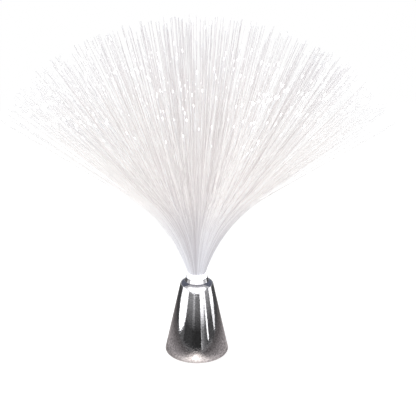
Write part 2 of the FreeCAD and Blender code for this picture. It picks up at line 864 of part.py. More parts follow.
def build():
    os.makedirs("parts", exist_ok=True)
    shapes = {name: make() for name, make in NODES.items()}
    for number in range(len(cell_angles)):
        shapes["battery_cell_%d" % (number + 1)] = battery_cell(number)
    for colour, angle in zip(("red", "green", "blue"), led_angles):
        shapes["led_" + colour] = led_lamp(angle)
    for ring in range(1, strand_rings + 1):
        shapes["strands_ring_%d" % ring] = strand_ring(ring)
    for name, shape in shapes.items():
        shape.exportStep("parts/%s.step" % name)


build()
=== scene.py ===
"""Battery fibre-optic table lamp: mirror-bright base, glowing collar and a fountain of strands."""

import math

import bmesh
import bpy
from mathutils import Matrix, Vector


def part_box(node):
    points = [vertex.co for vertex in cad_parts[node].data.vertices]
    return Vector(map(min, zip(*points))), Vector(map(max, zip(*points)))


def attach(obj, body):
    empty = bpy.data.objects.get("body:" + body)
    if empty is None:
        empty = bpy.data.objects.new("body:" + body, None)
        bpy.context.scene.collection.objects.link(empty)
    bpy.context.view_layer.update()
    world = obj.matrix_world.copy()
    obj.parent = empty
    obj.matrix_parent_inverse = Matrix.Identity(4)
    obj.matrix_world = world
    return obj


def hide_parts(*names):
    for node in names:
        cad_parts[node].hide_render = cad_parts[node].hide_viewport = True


bl_info = {
    "name": "Fibre-optic table lamp",
    "version": (1, 0, 0),
    "blender": (4, 5, 0),
    "location": "3D View > Sidebar > Fibre lamp",
    "description": "Builds the lamp's shell, collar, fibre fountain, underside and stage",
    "category": "Add Mesh",
}

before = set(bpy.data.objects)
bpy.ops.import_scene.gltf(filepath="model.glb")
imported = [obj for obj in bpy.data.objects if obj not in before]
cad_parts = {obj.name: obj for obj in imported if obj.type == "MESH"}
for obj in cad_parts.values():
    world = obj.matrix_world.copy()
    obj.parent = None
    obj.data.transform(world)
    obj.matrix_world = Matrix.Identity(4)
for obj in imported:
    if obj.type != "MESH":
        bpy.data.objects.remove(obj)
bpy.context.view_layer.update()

SHELL_LOW, SHELL_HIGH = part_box("housing_shell")
COLLAR_LOW, COLLAR_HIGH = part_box("neck_collar")
FERRULE_LOW, FERRULE_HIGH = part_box("bundle_ferrule")
CELL_LOW, CELL_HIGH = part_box("battery_cell_1")

FERRULE_RADIUS = FERRULE_HIGH[0]
FERRULE_WALL = 0.0012
SCREW_CIRCLE = 0.0225           # where the cover screws stand
FOOT_CIRCLE = 0.0215            # where the rubber feet stand
FIRST_SCREW = math.radians(90.0)
FIRST_FOOT = math.radians(30.0)
GOLDEN_ANGLE = math.pi * (3.0 - math.sqrt(5.0))
SHARP_EDGE = math.radians(40.0)
ON_AXIS = 1e-9                  # a smaller radius is a point on the axis

# colour sockets of a Mix node, number sockets of a Random Value node, and what both need set
MIX_A, MIX_B = 6, 7
COLOUR_MIX = {"output": 2, "data_type": "RGBA"}
RANDOM_MIN, RANDOM_MAX = 2, 3
RANDOM_NUMBER = {"output": 1, "data_type": "FLOAT"}


# ---------------------------------------------------------------- tools
def linear(hex_colour):
    """Scene-linear RGBA of an sRGB hex colour."""
    channels = [int(hex_colour[i:i + 2], 16) / 255.0 for i in (0, 2, 4)]
    return tuple(c / 12.92 if c <= 0.04045 else ((c + 0.055) / 1.055) ** 2.4
                 for c in channels) + (1.0,)


def add(tree, kind, inputs=None, output=0, **settings):
    """Adds one node with its properties, then sets or links its inputs. Returns one output."""
    node = tree.nodes.new(kind)
    for name, value in settings.items():
        setattr(node, name, value)
    for key, value in (inputs or {}).items():
        if isinstance(value, bpy.types.NodeSocket):
            tree.links.new(value, node.inputs[key])
        else:
            node.inputs[key].default_value = value
    return node.outputs[output] if node.outputs else None


def empty_material(name):
    """New node material, as (material, its empty tree)."""
    material = bpy.data.materials.new(name)
    material.use_nodes = True
    material.node_tree.nodes.clear()
    return material, material.node_tree


def end_in(tree, kind, inputs):
    """Ends a material's tree in a shader with these inputs."""
    add(tree, "ShaderNodeOutputMaterial", {"Surface": add(tree, kind, inputs)})


def linked(name, data):
    """New object in the scene for a mesh, a light or a camera."""
    item = bpy.data.objects.new(name, data)
    bpy.context.scene.collection.objects.link(item)
    return item


def worked_mesh(piece):
    """Plain mesh of an object, with its modifiers worked in."""
    bpy.context.view_layer.update()
    return bpy.data.meshes.new_from_object(
        piece.evaluated_get(bpy.context.evaluated_depsgraph_get()))


def rounded(corners, steps=8):
    """Profile points from (radius, height) corners; a third value rounds that corner."""
    points = []
    for i, corner in enumerate(corners):
        here = complex(corner[0], corner[1])
        if len(corner) == 2:
            points.append(here)
            continue
        before = complex(*corners[i - 1][:2]) - here
        after = complex(*corners[(i + 1) % len(corners)][:2]) - here
        before /= abs(before)
        after /= abs(after)
        half = math.acos(max(-1.0, min(1.0, (before * after.conjugate()).real))) / 2.0
        inward = (before + after) / abs(before + after)
        centre = here + inward * corner[2] / math.sin(half)
        start = here + before * corner[2] / math.tan(half) - centre
        end = here + after * corner[2] / math.tan(half) - centre
        turn = math.atan2((start.conjugate() * end).imag, (start.conjugate() * end).real)
        for step in range(steps + 1):
            angle = turn * step / steps
            points.append(centre + start * complex(math.cos(angle), math.sin(angle)))
    return [(p.real, p.imag) for p in points]


def divided(points, longest):
    """Closed profile with extra points, so that no run is longer than a length."""
    finer = []
    for i, (r0, z0) in enumerate(points):
        r1, z1 = points[(i + 1) % len(points)]
        pieces = max(1, math.ceil(math.hypot(r1 - r0, z1 - z0) / longest))
        finer += [(r0 + (r1 - r0) * n / pieces, z0 + (z1 - z0) * n / pieces) for n in range(pieces)]
    return finer


def lathe(name, profile, segments):
    """Closed solid turned from a profile that closes on itself or ends on the axis."""
    mesh = bpy.data.meshes.new(name)
    shape = bmesh.new()
    rings = []
    for radius, height in profile:
        copies = segments if radius > ON_AXIS else 1
        turns = [2.0 * math.pi * n / segments for n in range(copies)]
        rings.append([shape.verts.new((radius * math.cos(t), radius * math.sin(t), height))
                      for t in turns])
    for i, ring in enumerate(rings):
        following = rings[(i + 1) % len(rings)]
        if len(ring) == 1 and len(following) == 1:
            continue
        for n in range(segments):
            m = (n + 1) % segments
            corners = [ring[n % len(ring)], ring[m % len(ring)],
                       following[m % len(following)], following[n % len(following)]]
            shape.faces.new(list(dict.fromkeys(corners)))
    bmesh.ops.recalc_face_normals(shape, faces=shape.faces)
    shape.to_mesh(mesh)
    shape.free()
    mesh.shade_smooth()
    mesh.set_sharp_from_angle(angle=SHARP_EDGE)
    return linked(name, mesh)


def place_piece(piece, material, body, slot, *nodes):
    """Gives a piece its material, its body and the solids that it stands for. slot is not used."""
    if material is not None:
        piece.data.materials.clear()
        piece.data.materials.append(material)
    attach(piece, body)
    if nodes:
        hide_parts(*nodes)


def dress(material, *names):
    """Gives CAD nodes a material."""
    for name in names:
        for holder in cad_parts[name].material_slots:
            holder.material = material


# ---------------------------------------------------------------- finishes
GRAIN_SHADE = 0.72              # how dark the film's grain is, as a share of its light parts
GRAIN_PLAY = 0.06               # how far a moulded plastic's roughness goes up and down
LINE_PLAY = 0.08                # the same for a metal's fine lines
BAND_START = 0.74               # share of a cell's height where its band begins


def metallised_abs(film):
    """Vacuum-metallised ABS: moulded plastic under an aluminium film and a clear coat.

    It gives a mirror with a faint moulded ripple and a fine sparkle. The film's grain is drawn
    about 1.5 mm wide, coarser than the real one, so that it shows."""
    material, tree = empty_material("vacuum_metallised_abs")
    place = add(tree, "ShaderNodeTexCoord", output="Object")
    grit = add(tree, "ShaderNodeTexNoise", {"Vector": place, "Scale": 650.0, "Detail": 3.0})
    grain = add(tree, "ShaderNodeMapRange", {"Value": grit, "From Min": 0.35, "From Max": 0.65})
    ripple = add(tree, "ShaderNodeTexNoise", {"Vector": place, "Scale": 160.0})
    light = tuple(film) + (1.0,)
    dark = tuple(GRAIN_SHADE * channel for channel in film) + (1.0,)
    end_in(tree, "ShaderNodeBsdfPrincipled", {
        "Base Color": add(tree, "ShaderNodeMix", {
            "Factor": grain, MIX_A: dark, MIX_B: light}, **COLOUR_MIX),
        "Metallic": 1.0,
        "Roughness": add(tree, "ShaderNodeMapRange", {
            "Value": ripple, "To Min": 0.02, "To Max": 0.05}),
        "Normal": add(tree, "ShaderNodeBump", {
            "Height": grain, "Distance": 0.00002, "Strength": 0.5}),
    })
    return material


def opal_acrylic(glow):
    """Opal acrylic, injection moulded and lit from inside: a soft, even white with a thin gloss."""
    material, tree = empty_material("opal_acrylic")
    place = add(tree, "ShaderNodeTexCoord", output="Object")
    cloud = add(tree, "ShaderNodeTexNoise", {"Vector": place, "Scale": 350.0})
    tone = add(tree, "ShaderNodeMix", {
        "Factor": cloud, MIX_A: linear("e6ecf7"), MIX_B: linear("ffffff")}, **COLOUR_MIX)
    end_in(tree, "ShaderNodeBsdfPrincipled", {
        "Base Color": tone, "Roughness": 0.25, "IOR": 1.49,
        "Emission Color": tone, "Emission Strength": glow,
        "Normal": add(tree, "ShaderNodeBump", {
            "Height": cloud, "Distance": 0.00005, "Strength": 0.3}),
    })
    return material


def drawn_acrylic(glow, root_glow):
    """Drawn PMMA fibre: clear, smooth and thin, so a strand is a white or pale grey line.

    Light leaks from it most where it leaves the collar. tint makes one strand or lock greyer
    than the next, and the outermost strands whiter towards their tips, which is painted light.
    run goes from 0 at the root to 1 at the tip. The strand's colour is painted greyer and bluer
    near the root and a little greyer at the tip: painted shade."""
    material, tree = empty_material("drawn_pmma_fibre")
    tint = add(tree, "ShaderNodeAttribute", output="Fac", attribute_name="tint")
    run = add(tree, "ShaderNodeAttribute", output="Fac", attribute_name="run")
    clear = add(tree, "ShaderNodeMapRange", {"Value": tint, "From Min": 0.25, "From Max": 0.75})
    strand = add(tree, "ShaderNodeMix", {
        "Factor": clear, MIX_A: linear("dcd9da"), MIX_B: linear("ffffff")}, **COLOUR_MIX)
    # painted shade: strands greyer and bluer near the root, where they crowd in the neck
    away = add(tree, "ShaderNodeMapRange", {"Value": run, "From Min": 0.09, "From Max": 0.5})
    root_shaded_tone = add(tree, "ShaderNodeMix", {
        "Factor": away, MIX_A: linear("dfe0e5"), MIX_B: linear("fefcfb")}, **COLOUR_MIX)
    # painted shade: a little greyer again towards the tips
    outward = add(tree, "ShaderNodeMapRange", {"Value": run, "From Min": 0.8, "From Max": 1.0})
    root_and_tip_shaded_tone = add(tree, "ShaderNodeMix", {
        "Factor": outward, MIX_A: root_shaded_tone, MIX_B: linear("f4f4f6")}, **COLOUR_MIX)
    tone = add(tree, "ShaderNodeMix", {
        "Factor": 1.0, MIX_A: strand, MIX_B: root_and_tip_shaded_tone}, **COLOUR_MIX, blend_type="MULTIPLY")
    leak = add(tree, "ShaderNodeMapRange", {
        "Value": run, "From Min": 0.084, "From Max": 0.094, "To Min": root_glow, "To Max": 0.0})
    inner = add(tree, "ShaderNodeMapRange", {
        "Value": run, "From Min": 0.1, "From Max": 0.7, "To Min": 2.4 * glow, "To Max": glow})
    end_in(tree, "ShaderNodeBsdfPrincipled", {
        "Base Color": tone, "Roughness": 0.18, "IOR": 1.49,
        "Emission Color": tone,
        "Emission Strength": add(tree, "ShaderNodeMath", {0: leak, 1: inner}, operation="ADD"),
    })
    return material


def cut_fibre_end(glow):
    """Heat-cut fibre end: a polished face that lets the light out, bright on some strands only."""
    material, tree = empty_material("heat_cut_pmma_end")
    tint = add(tree, "ShaderNodeAttribute", output="Fac", attribute_name="tint")
    tone = add(tree, "ShaderNodeMix", {
        "Factor": tint, MIX_A: linear("d8d8dc"), MIX_B: linear("ffffff")}, **COLOUR_MIX)
    end_in(tree, "ShaderNodeBsdfPrincipled", {
        "Base Color": tone, "Roughness": 0.1, "IOR": 1.49, "Emission Color": tone,
        "Emission Strength": add(tree, "ShaderNodeMapRange", {
            "Value": tint, "From Min": 0.5, "From Max": 0.8, "To Min": 0.1, "To Max": glow}),
    })
    return material


def moulded_plastic(name, dark, light, roughness, grain_mm=0.5):
    """Injection-moulded plastic with a spark-eroded grain: even colour, soft broken highlight."""
    material, tree = empty_material(name)
    place = add(tree, "ShaderNodeTexCoord", output="Object")
    grain = add(tree, "ShaderNodeTexNoise", {"Vector": place, "Scale": 1000.0 / grain_mm})
    flow = add(tree, "ShaderNodeTexNoise", {"Vector": place, "Scale": 60.0, "Detail": 3.0})
    end_in(tree, "ShaderNodeBsdfPrincipled", {
        "Base Color": add(tree, "ShaderNodeMix", {
            "Factor": flow, MIX_A: linear(dark), MIX_B: linear(light)}, **COLOUR_MIX),
        "Roughness": add(tree, "ShaderNodeMapRange", {
            "Value": grain, "To Min": roughness - GRAIN_PLAY, "To Max": roughness + GRAIN_PLAY}),
        "IOR": 1.53,
        "Normal": add(tree, "ShaderNodeBump", {
            "Height": grain, "Distance": 0.00003, "Strength": 0.5}),
    })
    return material


def drawn_metal(name, dark, light, roughness, stretch=(1.0, 1.0, 8.0)):
    """Plated or drawn metal: fine lines across the stretched axes and small changes of shade.

    The lines are about 1 mm apart, coarser than real ones, so that they show."""
    material, tree = empty_material(name)
    place = add(tree, "ShaderNodeTexCoord", output="Object")
    along = add(tree, "ShaderNodeMapping", {"Vector": place, "Scale": stretch})
    lines = add(tree, "ShaderNodeTexNoise", {"Vector": along, "Scale": 900.0, "Detail": 3.0})
    end_in(tree, "ShaderNodeBsdfPrincipled", {
        "Base Color": add(tree, "ShaderNodeMix", {
            "Factor": lines, MIX_A: linear(dark), MIX_B: linear(light)}, **COLOUR_MIX),
        "Metallic": 1.0,
        "Roughness": add(tree, "ShaderNodeMapRange", {
            "Value": lines, "To Min": roughness - LINE_PLAY, "To Max": roughness + LINE_PLAY}),
        "Normal": add(tree, "ShaderNodeBump", {
            "Height": lines, "Distance": 0.00002, "Strength": 0.4}),
    })
    return material


def cast_epoxy_lens(name, colour):
    """Epoxy lamp body, cast clear and coloured by the light inside it."""
    material, tree = empty_material(name)
    place = add(tree, "ShaderNodeTexCoord", output="Object")
    cloud = add(tree, "ShaderNodeTexNoise", {"Vector": place, "Scale": 900.0, "Detail": 1.0})
    pale = add(tree, "ShaderNodeMapRange", {"Value": cloud, "From Min": 0.45, "From Max": 1.0})
    tone = add(tree, "ShaderNodeMix", {
        "Factor": pale, MIX_A: linear(colour), MIX_B: linear("ffffff")}, **COLOUR_MIX)
    end_in(tree, "ShaderNodeBsdfPrincipled", {
        "Base Color": tone, "Roughness": 0.12, "IOR": 1.53,
        "Emission Color": tone, "Emission Strength": 1.5})
    return material


def solder_mask():
    """Green solder mask on woven glass and epoxy: glossy, with the weave's squares showing."""
    material, tree = empty_material("solder_mask_on_glass_epoxy")
    place = add(tree, "ShaderNodeTexCoord", output="Object")
    weave = add(tree, "ShaderNodeTexChecker", {
        "Vector": place, "Scale": 1600.0, "Color1": linear("1c5a34"), "Color2": linear("22683c")})
    end_in(tree, "ShaderNodeBsdfPrincipled", {"Base Color": weave, "Roughness": 0.3})
    return material


def printed_film():
    """Printed shrink film on an alkaline cell: dark, scuffed, with a copper-coloured head."""
    material, tree = empty_material("printed_shrink_film")
    place = add(tree, "ShaderNodeTexCoord", output="Object")
    height = add(tree, "ShaderNodeSeparateXYZ", {"Vector": place}, output="Z")
    band_z = CELL_LOW[2] + BAND_START * (CELL_HIGH[2] - CELL_LOW[2])
    above = add(tree, "ShaderNodeMath", {0: height, 1: band_z}, operation="GREATER_THAN")
    print_tone = add(tree, "ShaderNodeMix", {
        "Factor": above, MIX_A: linear("24303e"), MIX_B: linear("b8793f")}, **COLOUR_MIX)
    scuff = add(tree, "ShaderNodeTexNoise", {"Vector": place, "Scale": 500.0, "Detail": 3.0})
    worn = add(tree, "ShaderNodeMapRange", {"Value": scuff, "To Max": 0.3})
    end_in(tree, "ShaderNodeBsdfPrincipled", {
        "Base Color": add(tree, "ShaderNodeMix", {
            "Factor": worn, MIX_A: print_tone, MIX_B: linear("8a8f94")}, **COLOUR_MIX),
        "Metallic": 0.6,
        "Roughness": add(tree, "ShaderNodeMapRange", {
            "Value": scuff, "To Min": 0.2, "To Max": 0.4}),
    })
    return material


# ---------------------------------------------------------------- settings
class LampBaseSettings(bpy.types.PropertyGroup):
    """Sizes and colours of the base and its collar."""

    foot_radius: bpy.props.FloatProperty(
        name="Foot radius", description="Cone line at the rim", default=0.0324, unit="LENGTH")
    top_radius: bpy.props.FloatProperty(
        name="Shoulder radius", description="Cone line at the shoulder",
        default=0.016, unit="LENGTH")
    shoulder_height: bpy.props.FloatProperty(
        name="Shoulder height", description="Height of the cone's upper corner",
        default=0.074, unit="LENGTH")
    rim_rounding: bpy.props.FloatProperty(
        name="Rim rounding", description="Radius of the foot's edge", default=0.0012, unit="LENGTH")
    shoulder_rounding: bpy.props.FloatProperty(
        name="Shoulder rounding", description="Radius of the shoulder's edge",
        default=0.004, unit="LENGTH")
    crown: bpy.props.FloatProperty(
        name="Crown", description="Rise of the shoulder towards the neck",
        default=0.001, unit="LENGTH")
    lip_radius: bpy.props.FloatProperty(
        name="Lip radius", description="Outer radius of the lip round the collar",
        default=0.0108, unit="LENGTH")
    lip_spread: bpy.props.FloatProperty(
        name="Lip spread", description="How much wider the lip is at its foot",
        default=0.0011, unit="LENGTH")
    lip_wall: bpy.props.FloatProperty(
        name="Lip wall", description="Thickness of the lip", default=0.0008, unit="LENGTH")
    wall: bpy.props.FloatProperty(
        name="Wall", description="Thickness of the shell", default=0.002, unit="LENGTH")
    mouth_radius: bpy.props.FloatProperty(
        name="Mouth radius", description="Opening that takes the cover",
        default=0.0276, unit="LENGTH")
    film: bpy.props.FloatVectorProperty(
        name="Film", description="Colour of the metal film",
        subtype="COLOR", default=linear("c4c3c6")[:3])
    glow: bpy.props.FloatProperty(
        name="Collar glow", description="Strength of the light in the collar", default=2.5, min=0.0)


class FountainSettings(bpy.types.PropertyGroup):
    """Sizes of the strands and the way they open."""

    strands: bpy.props.IntProperty(
        name="Strands", description="Strands in the whole bundle", default=1280, min=3)
    thickness: bpy.props.FloatProperty(
        name="Thickness", description="Diameter of one strand", default=0.00046, unit="LENGTH")
    length: bpy.props.FloatProperty(
        name="Length", description="From the root to the tip of a middle strand",
        default=0.266, unit="LENGTH")
    trim: bpy.props.FloatProperty(
        name="Trim", description="How much shorter the outermost strands are",
        default=0.005, unit="LENGTH")
    uneven: bpy.props.FloatProperty(
        name="Uneven ends", description="Most that one strand is cut shorter",
        default=0.036, unit="LENGTH")
    bundle_radius: bpy.props.FloatProperty(
        name="Bundle radius", description="Radius of the bound bundle",
        default=0.0062, unit="LENGTH")
    neck_spread: bpy.props.FloatProperty(
        name="Neck spread", description="Radius that the bundle gains in the neck",
        default=0.0023, unit="LENGTH")
    neck_turn: bpy.props.FloatProperty(
        name="Neck turn", description="Lean of the outermost strands as they leave the collar",
        subtype="ANGLE", default=math.radians(18.0))
    spread_turn: bpy.props.FloatProperty(
        name="Spread turn", description="Lean of the outermost strands at their tips",
        subtype="ANGLE", default=math.radians(57.0))
    spread_bend: bpy.props.FloatProperty(
        name="Spread bend", description="Radius of the strands' bend", default=0.170, unit="LENGTH")
    sway: bpy.props.FloatProperty(
        name="Sway", description="Most that a strand turns aside on its way out",
        subtype="ANGLE", default=math.radians(7.0))
    locks: bpy.props.FloatProperty(
        name="Locks", description="Most that neighbouring strands lean together into a lock",
        subtype="ANGLE", default=math.radians(6.0))
    seed: bpy.props.IntProperty(
        name="Seed", description="Seed of the small irregularities", default=2)
    glow: bpy.props.FloatProperty(
        name="Glow", description="Light that leaks along a strand", default=0.14, min=0.0)
    root_glow: bpy.props.FloatProperty(
        name="Root glow", description="Light that leaks where a strand leaves the collar",
        default=1.2, min=0.0)
    tip_glow: bpy.props.FloatProperty(
        name="Tip glow", description="Light at a strand's end", default=2.4, min=0.0)


class StageSettings(bpy.types.PropertyGroup):
    """Camera and light."""

    lens: bpy.props.FloatProperty(
        name="Lens", description="Focal length in millimetres", default=49.34)
    distance: bpy.props.FloatProperty(
        name="Distance", description="Camera to the lamp's axis", default=0.5314, unit="LENGTH")
    height: bpy.props.FloatProperty(
        name="Height", description="Camera above the table", default=0.292, unit="LENGTH")
    pitch: bpy.props.FloatProperty(
        name="Pitch", description="Downward tilt of the camera",
        subtype="ANGLE", default=math.radians(15.0))
    shift: bpy.props.FloatProperty(
        name="Shift", description="Sideways shift of the lens", default=0.0269)
    key_power: bpy.props.FloatProperty(
        name="Key light", description="Power of the main soft light in watts", default=9.0)
    fill_power: bpy.props.FloatProperty(
        name="Fill light", description="Power of the second soft light in watts", default=4.0)
    ambient: bpy.props.FloatProperty(
        name="Ambient", description="Strength of the even light from all round", default=0.62)
    floor_lift: bpy.props.FloatProperty(
        name="Floor lift", description="How much whiter than lit the floor looks", default=0.55)


# ---------------------------------------------------------------- base and collar
class LAMP_OT_shell(bpy.types.Operator):
    """Turns the mirror-bright conical shell"""

    bl_idname = "lamp.shell"
    bl_label = "Conical shell"

    segments = 192
    longest_run = 0.005
    mouth_rounding = 0.0004
    crown_rounding = 0.0006
    lip_rounding = 0.45             # share of the lip's wall

    def execute(self, context):
        size = context.scene.lamp_base
        slope = (size.foot_radius - size.top_radius) / (size.shoulder_height - SHELL_LOW[2])
        inside = size.wall * math.sqrt(1.0 + slope ** 2)
        mouth = SHELL_LOW[2] + (size.foot_radius - inside - size.mouth_radius) / slope
        ceiling = size.shoulder_height - size.wall
        room = size.foot_radius - slope * (ceiling - SHELL_LOW[2]) - inside
        lip_in = size.lip_radius - size.lip_wall
        edge = size.lip_wall * self.lip_rounding
        profile = rounded([
            (size.mouth_radius, SHELL_LOW[2], self.mouth_rounding),
            (size.foot_radius, SHELL_LOW[2], size.rim_rounding),
            (size.top_radius, size.shoulder_height, size.shoulder_rounding),
            (size.lip_radius + size.lip_spread, size.shoulder_height + size.crown,
             self.crown_rounding),
            (size.lip_radius, SHELL_HIGH[2], edge),
            (lip_in, SHELL_HIGH[2], edge),
            (lip_in, ceiling),
            (room, ceiling),
            (size.mouth_radius, mouth),
        ])
        shell = lathe("conical_shell", divided(profile, self.longest_run), self.segments)
        place_piece(shell, metallised_abs(size.film), "lamp", "metallised_shell", "housing_shell")
        return {"FINISHED"}


class LAMP_OT_collar(bpy.types.Operator):
    """Turns the opal collar that the strands leave"""

    bl_idname = "lamp.collar"
    bl_label = "Glowing collar"

    segments = 96
    steps = 8
    clearance = 0.0007              # strand's half width and its air
    seat_gap = 0.0001
    wall = 0.0012
    flange_thickness = 0.0016
    edge = 0.0005

    def execute(self, context):
        base = context.scene.lamp_base
        fountain = context.scene.lamp_fountain
        bore = FERRULE_RADIUS - FERRULE_WALL
        top = COLLAR_HIGH[2]
        neck = FERRULE_HIGH[2]
        bend = neck_bend(fountain) - self.clearance
        flare = []
        for step in range(self.steps + 1):
            turn = math.asin((top - neck) / bend) * step / self.steps
            flare.append((bore + bend * (1.0 - math.cos(turn)), neck + bend * math.sin(turn)))
        outer = base.lip_radius - base.lip_wall - self.seat_gap
        sleeve = FERRULE_RADIUS + self.seat_gap
        ceiling = base.shoulder_height - base.wall
        flange_under = ceiling - self.flange_thickness
        profile = flare + rounded([
            (outer, top, self.edge),
            (outer, ceiling),
            (COLLAR_HIGH[0], ceiling),
            (COLLAR_HIGH[0], flange_under),
            (sleeve + self.wall, flange_under),
            (sleeve + self.wall, COLLAR_LOW[2]),
            (sleeve, COLLAR_LOW[2]),
            (sleeve, neck),
        ])
        collar = lathe("opal_collar", profile, self.segments)
        place_piece(collar, opal_acrylic(base.glow), "lamp", "milky_collar", "neck_collar")
        return {"FINISHED"}


# ---------------------------------------------------------------- fountain
def neck_bend(size):
    """Radius on which the outermost strand bends in the neck."""
    return size.neck_spread / (1.0 - math.cos(size.neck_turn))


def started_tree(name, sockets):
    """New geometry tree with a geometry output and named inputs, as (tree, inputs by name)."""
    tree = bpy.data.node_groups.new(name, "GeometryNodeTree")
    tree.interface.new_socket("Geometry", in_out="OUTPUT", socket_type="NodeSocketGeometry")
    for label, kind, default in sockets:
        socket = tree.interface.new_socket(label, in_out="INPUT", socket_type="NodeSocket" + kind)
        if default is not None:
            socket.default_value = default
    given = add(tree, "NodeGroupInput").node.outputs
    return tree, {label: given[label] for label, kind, default in sockets}


def ended_tree(tree, geometry, material):
    """Ends a geometry tree in real geometry with a material. Returns the tree."""
    whole = add(tree, "GeometryNodeRealizeInstances", {"Geometry": geometry})
    painted = add(tree, "GeometryNodeSetMaterial", {"Geometry": whole, "Material": material})
    add(tree, "NodeGroupOutput", {"Geometry": painted})
    return tree


LOCK_LEAN = 0.1                 # how much further in or out a lock leans
ROOT_CROWDING = 1.6             # crowds a strand's points towards its root, where it bends
SHORT_RARITY = 5.0              # the higher, the fewer strands are cut much shorter
EDGE_RARITY = 4.0               # the higher, the nearer the edge a strand must be for painted light
# painted light on the outermost strands towards their tips, and a shift that greys all strands
EDGE_LIGHT, ALL_GREYER = 0.65, -0.1
OWN_SHADE, LOCK_SHADE = 0.35, 0.65

# Where a strand starts in the bundle. The golden angle sets each one beside the last without
# lining them up.
BUNDLE_RULE = (
    ("order", "ADD", "number", 0.5),
    ("part", "DIVIDE", "order", "Strands"),
    ("share", "SQRT", "part"),
    ("first_turn", "MULTIPLY", "number", GOLDEN_ANGLE),
    ("first_cosine", "COSINE", "first_turn"),
    ("first_sine", "SINE", "first_turn"),
    ("first_x", "MULTIPLY", "share", "first_cosine"),
    ("first_y", "MULTIPLY", "share", "first_sine"),
)

# A strand rises through the ferrule, bends on the neck's radius, opens on a wide bend and runs
# straight to its tip. Each row is a name, an operation, and what it works on.
STRAND_RULE = (
    ("gathered", "MULTIPLY_ADD", "lock_out", LOCK_LEAN, 1.0),
    ("own_lean", "MULTIPLY", "share", "limp"),
    ("lean", "MULTIPLY", "own_lean", "gathered"),
    ("left", "SUBTRACT", 1.0, "Start"),
    ("reach", "MULTIPLY_ADD", "left", "along", "Start"),
    ("run", "POWER", "reach", ROOT_CROWDING),
    ("shorter", "POWER", "short", SHORT_RARITY),
    ("cut", "MULTIPLY", "shorter", "Uneven"),
    ("trim", "MULTIPLY_ADD", "Trim", "share", "cut"),
    ("length", "SUBTRACT", "Length", "trim"),
    ("distance", "MULTIPLY", "run", "length"),
    # straight through the ferrule
    ("ferrule_run", "SUBTRACT", "Neck Height", "Root Height"),
    ("in_ferrule", "MINIMUM", "distance", "ferrule_run"),
    ("base_height", "ADD", "Root Height", "in_ferrule"),
    ("root_radius", "MULTIPLY", "share", "Bundle Radius"),
    # round the neck's bend
    ("neck", "MULTIPLY", "Neck Turn", "lean"),
    ("neck_run", "MULTIPLY", "Neck Bend", "neck"),
    ("past_ferrule", "SUBTRACT", "distance", "in_ferrule"),
    ("in_neck", "MINIMUM", "past_ferrule", "neck_run"),
    ("neck_angle", "DIVIDE", "in_neck", "Neck Bend"),
    ("neck_rise", "SINE", "neck_angle"),
    ("neck_cosine", "COSINE", "neck_angle"),
    ("neck_drift", "SUBTRACT", 1.0, "neck_cosine"),
    ("neck_radius", "MULTIPLY_ADD", "neck_drift", "Neck Bend", "root_radius"),
    ("neck_height", "MULTIPLY_ADD", "neck_rise", "Neck Bend", "base_height"),
    # round the wide bend
    ("tip", "MULTIPLY", "Spread Turn", "lean"),
    ("whole_turn", "SUBTRACT", "tip", "neck"),
    ("bend_run", "MULTIPLY", "Spread Bend", "whole_turn"),
    ("past_neck", "SUBTRACT", "past_ferrule", "in_neck"),
    ("in_bend", "MINIMUM", "past_neck", "bend_run"),
    ("bend_turn", "DIVIDE", "in_bend", "Spread Bend"),
    ("angle", "ADD", "neck", "bend_turn"),
    ("neck_end_sine", "SINE", "neck"),
    ("neck_end_cosine", "COSINE", "neck"),
    ("angle_sine", "SINE", "angle"),
    ("angle_cosine", "COSINE", "angle"),
    ("bend_rise", "SUBTRACT", "angle_sine", "neck_end_sine"),
    ("bend_drift", "SUBTRACT", "neck_end_cosine", "angle_cosine"),
    ("bend_radius", "MULTIPLY_ADD", "bend_drift", "Spread Bend", "neck_radius"),
    ("bend_height", "MULTIPLY_ADD", "bend_rise", "Spread Bend", "neck_height"),
    # straight to the tip
    ("beyond", "SUBTRACT", "past_neck", "in_bend"),
    ("tip_sine", "SINE", "tip"),
    ("tip_cosine", "COSINE", "tip"),
    ("radius", "MULTIPLY_ADD", "beyond", "tip_sine", "bend_radius"),
    ("height", "MULTIPLY_ADD", "beyond", "tip_cosine", "bend_height"),
    # turned aside on its way out, by itself and with its lock
    ("own_way", "MULTIPLY", "drift", "Sway"),
    ("way", "MULTIPLY_ADD", "lock_aside", "Locks", "own_way"),
    ("aside", "MULTIPLY", "way", "run"),
    ("turn", "ADD", "first_turn", "aside"),
    ("turn_cosine", "COSINE", "turn"),
    ("turn_sine", "SINE", "turn"),
    ("x", "MULTIPLY", "radius", "turn_cosine"),
    ("y", "MULTIPLY", "radius", "turn_sine"),
    # greyer or whiter, by itself and with its lock; painted light whiter towards the outermost tips
    ("edge", "POWER", "share", EDGE_RARITY),
    ("outer", "MULTIPLY", "edge", "run"),
    ("painted_edge_light", "MULTIPLY_ADD", "outer", EDGE_LIGHT, ALL_GREYER),
    ("own_tint", "MULTIPLY_ADD", "chance", OWN_SHADE, "painted_edge_light"),
    ("tint", "MULTIPLY_ADD", "lock_tint", LOCK_SHADE, "own_tint"),
    ("thick", "MULTIPLY", "Thickness", 0.5),
)


def worked_out(tree, value, rule):
    """Adds a rule's rows to a tree, with each result in value under its name."""
    for name, operation, *terms in rule:
        inputs = {place: value.get(term, term) for place, term in enumerate(terms)}
        value[name] = add(tree, "ShaderNodeMath", inputs, operation=operation)


